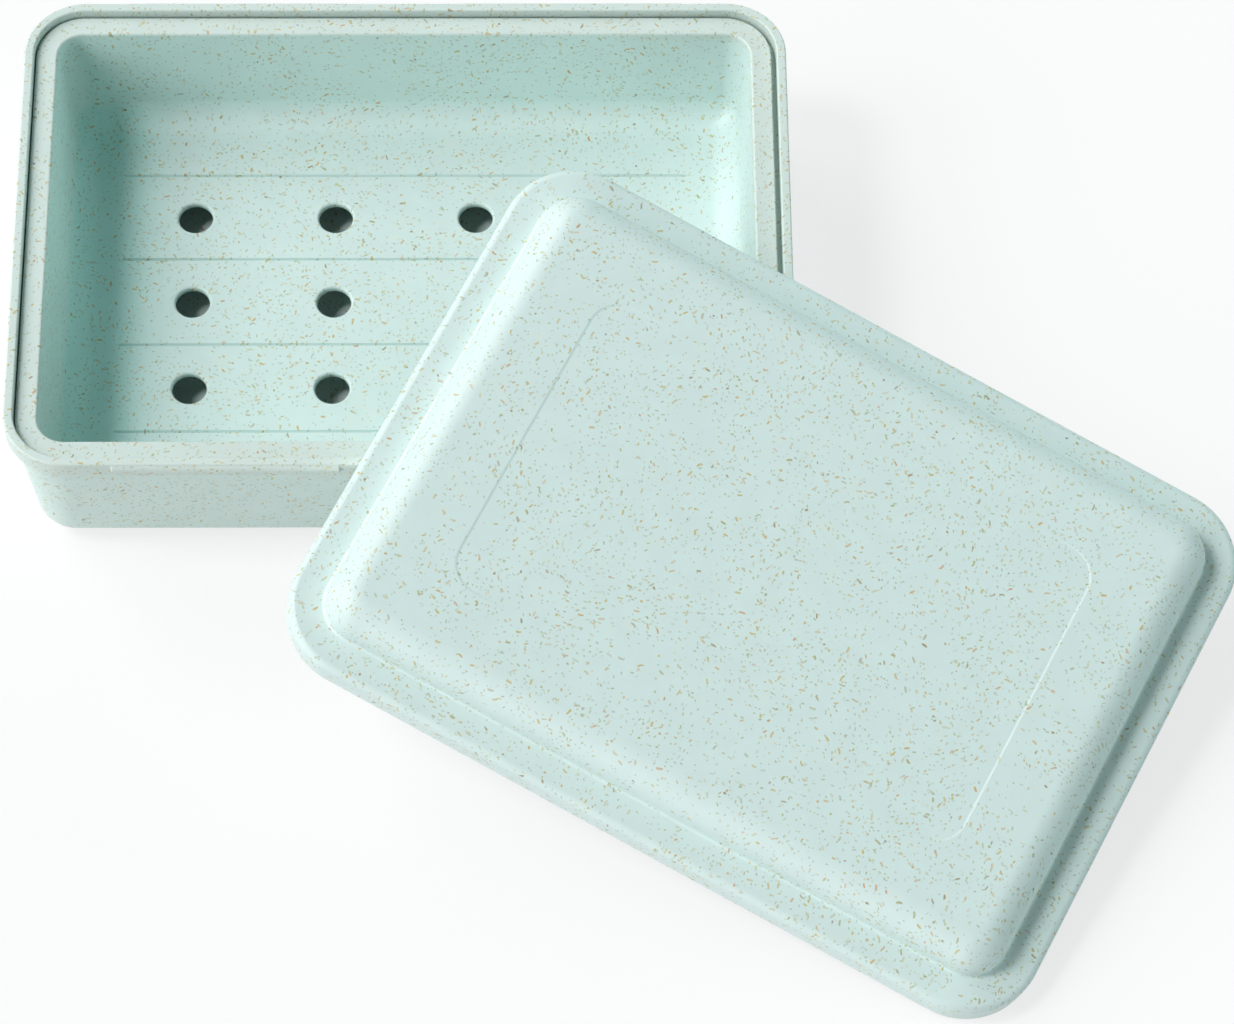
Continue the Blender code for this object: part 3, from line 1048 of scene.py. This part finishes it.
class SOAPBOX_OT_lid(bpy.types.Operator):
    """Build the lid: skirt, ledge, rounded crown and shallow panel"""

    bl_idname = "soapbox.lid"
    bl_label = "Lid"

    def execute(self, context):
        base = context.scene.soap_base
        sizes = context.scene.soap_lid
        look = context.scene.soap_plastic
        reach = sizes.side_gap + sizes.wall
        length, width = base.rim_length + 2 * reach, base.rim_width + 2 * reach
        rings = carried_round(self.outline(sizes, width), length, width, base.rim_corner + reach, LID_RUN)
        rings += self.panel(sizes, length, width)
        lid = new_object("lid_moulding", loft(rings))
        groove_side = base.rim_width / 2 - BEAD_SINK + sizes.side_gap
        groove_place = (BEAD_OFFSET, groove_side, sizes.skirt_height - sizes.wall - BEAD_DROP)
        combine(lid, [mirrored_bars("snap_grooves", SNAP_GROOVE_LENGTH, groove_place)], "DIFFERENCE")
        lid.location = sizes.place
        lid.rotation_euler = Euler(sizes.turn)
        material = speckled_plastic("lid_plastic_finish", look.lid_colour, look)
        polish(lid, "lid", "lid", material)
        return {"FINISHED"}

    @staticmethod
    def outline(sizes, width):
        middle = width / 2
        height = sizes.skirt_height + sizes.crown_rise
        crown_side = sizes.ledge_width + CROWN_DRAFT
        under_ledge = sizes.skirt_height - sizes.wall
        return (
            (middle, height - sizes.wall),
            (crown_side + sizes.wall, height - sizes.wall, sizes.crown_fillet - sizes.wall),
            (sizes.ledge_width + sizes.wall, under_ledge, CROWN_FOOT_ROUND),
            (sizes.wall, under_ledge, CROWN_FOOT_ROUND),
            (sizes.wall, 0, SKIRT_EDGE_ROUND),
            (0, 0, SKIRT_EDGE_ROUND),
            (0, sizes.skirt_height, LEDGE_ROUND),
            (sizes.ledge_width, sizes.skirt_height, CROWN_FOOT_ROUND),
            (crown_side, height, sizes.crown_fillet),
            (middle, height),
        )

    @staticmethod
    def panel(sizes, length, width):
        """Rings that step down into the panel, which is deepest at its ends and fades along its sides."""
        top = sizes.skirt_height + sizes.crown_rise
        panel_length = length - 2 * (sizes.ledge_width + PANEL_END_MARGIN)
        panel_width = width - 2 * (sizes.ledge_width + PANEL_SIDE_MARGIN)
        shares = [step / PANEL_STEPS for step in range(PANEL_STEPS + 1)]
        steps = [(sizes.panel_slope * (share - PANEL_START), share) for share in shares]
        steps += [(inward, 1) for inward in PANEL_RINGS]
        rings = []
        for inward, share in steps:
            fall = sizes.panel_depth * ease(share)
            corner = max(PANEL_CORNER - inward, TIGHTEST_CORNER)
            ring_length, ring_width = panel_length - 2 * inward, panel_width - 2 * inward
            ring = rounded_rectangle(ring_length, ring_width, corner, 0, LID_RUN)
            level = []
            for x, y, _ in ring:
                from_end = panel_length / 2 - abs(x)
                near_end = (PANEL_FADE_FROM - from_end) / (PANEL_FADE_FROM - PANEL_FADE_TO)
                at_end = ease(min(max(near_end, 0), 1))
                depth = PANEL_SIDE_SHARE + (1 - PANEL_SIDE_SHARE) * at_end
                level.append((x, y, top - fall * depth))
            rings.append(level)
        return rings


# The floor's reach, its drop below the ground, and the share of white that it glows with where it is seen
FLOOR_REACH = 3
FLOOR_DROP = 0.0001
FLOOR_GLOW = 0.75

# The film's width in millimetres, and how near and how far the camera sees
FILM_WIDTH = 36
NEAREST_SIGHT = 0.01
FARTHEST_SIGHT = 20


class SOAPBOX_OT_stage(bpy.types.Operator):
    """Build the studio: pale floor, soft lights, white surroundings and the camera"""

    bl_idname = "soapbox.stage"
    bl_label = "Stage"

    def execute(self, context):
        look = context.scene.soap_stage
        self.floor(look)
        self.lights(look)
        self.surroundings(context.scene, look)
        self.camera(context.scene, look)
        context.scene.view_settings.view_transform = "Standard"
        return {"FINISHED"}

    @staticmethod
    def floor(look):
        mesh = bmesh.new()
        bmesh.ops.create_grid(mesh, x_segments=1, y_segments=1, size=FLOOR_REACH)
        floor = new_object("studio_floor", mesh)
        floor.location.z = -FLOOR_DROP
        finish = Finish(bpy.data.materials.new("studio_floor_white"))
        seen = background_rays(finish)
        white = finish.node("ShaderNodeBsdfDiffuse", {}, {"Color": tuple(look.floor_colour)})
        glow = finish.node("ShaderNodeEmission", {}, {"Color": WHITE, "Strength": 1.0})
        glowing = seen * FLOOR_GLOW
        both = finish.node("ShaderNodeMixShader", {}, {0: glowing, 1: white["BSDF"], 2: glow["Emission"]})
        finish.node("ShaderNodeOutputMaterial", {}, {"Surface": both["Shader"]})
        floor.data.materials.append(finish.owner)
        floor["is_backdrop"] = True

    @staticmethod
    def lights(look):
        """Wide soft lights, far off."""
        for name, around, above, wide, share, colour in SOFT_LIGHTS:
            lamp = bpy.data.lights.new(name, "SUN")
            lamp.color = colour
            lamp.energy = math.pi * share * look.daylight
            lamp.angle = math.radians(wide) * look.softness
            light = bpy.data.objects.new(name, lamp)
            around, above = math.radians(around), math.radians(above)
            level = math.cos(above)
            toward = Vector((math.cos(around) * level, math.sin(around) * level, math.sin(above)))
            light.rotation_euler = toward.to_track_quat("Z", "Y").to_euler()
            light.location = toward
            bpy.context.scene.collection.objects.link(light)

    @staticmethod
    def surroundings(scene, look):
        finish = Finish(bpy.data.worlds.new("white_surroundings"))
        soft = finish.node("ShaderNodeBackground", {}, {"Color": PALE_GREEN, "Strength": look.fill})
        white = finish.node("ShaderNodeBackground", {}, {"Color": WHITE, "Strength": 1.0})
        shaders = {0: background_rays(finish), 1: soft["Background"], 2: white["Background"]}
        both = finish.node("ShaderNodeMixShader", {}, shaders)
        finish.node("ShaderNodeOutputWorld", {}, {"Surface": both["Shader"]})
        scene.world = finish.owner

    @staticmethod
    def camera(scene, look):
        view = bpy.data.cameras.new("picture_camera")
        view.lens = look.focal_length
        view.sensor_width = FILM_WIDTH
        view.clip_start = NEAREST_SIGHT
        view.clip_end = FARTHEST_SIGHT
        camera = bpy.data.objects.new("picture_camera", view)
        yaw, lift = look.yaw, look.elevation
        ahead = Vector((-math.sin(yaw) * math.cos(lift), math.cos(yaw) * math.cos(lift), -math.sin(lift)))
        level = ahead.cross(Vector((0, 0, 1))).normalized()
        upward = level.cross(ahead)
        right = math.cos(look.roll) * level + math.sin(look.roll) * upward
        upward = math.cos(look.roll) * upward - math.sin(look.roll) * level
        turn = Matrix((right, upward, -ahead)).transposed().to_4x4()
        camera.matrix_world = Matrix.Translation(Vector(look.target) - ahead * look.distance) @ turn
        scene.collection.objects.link(camera)
        scene.camera = camera


class SOAPBOX_PT_panel(bpy.types.Panel):
    """The soap box's builders, sizes and colours"""

    bl_label = "Soap box"
    bl_space_type = "VIEW_3D"
    bl_region_type = "UI"
    bl_category = "Soap box"

    def draw(self, context):
        column = self.layout.column()
        for operator in OPERATORS:
            column.operator(operator.bl_idname)
        for name, group in GROUPS.items():
            settings = getattr(context.scene, name)
            column.separator()
            for entry in group.__annotations__:
                column.prop(settings, entry)


GROUPS = {
    "soap_base": BaseSizes,
    "soap_tray": TraySizes,
    "soap_lid": LidSizes,
    "soap_plastic": PlasticLook,
    "soap_stage": StageLook,
}
OPERATORS = (SOAPBOX_OT_base, SOAPBOX_OT_drain_tray, SOAPBOX_OT_lid, SOAPBOX_OT_stage)


def register():
    for item in (*GROUPS.values(), *OPERATORS, SOAPBOX_PT_panel):
        bpy.utils.register_class(item)
    for name, group in GROUPS.items():
        setattr(bpy.types.Scene, name, PointerProperty(type=group))


def unregister():
    for name in GROUPS:
        delattr(bpy.types.Scene, name)
    for item in (SOAPBOX_PT_panel, *reversed(OPERATORS), *reversed(GROUPS.values())):
        bpy.utils.unregister_class(item)


def corners(box):
    return [[float(value) for value in corner] for corner in box]


def main():
    register()
    bpy.ops.soapbox.base()
    bpy.ops.soapbox.drain_tray()
    bpy.ops.soapbox.lid()
    bpy.ops.soapbox.stage()
    {"cad": corners(FRAME_BOX), "visual": corners(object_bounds())}


if __name__ == "__main__":
    main()
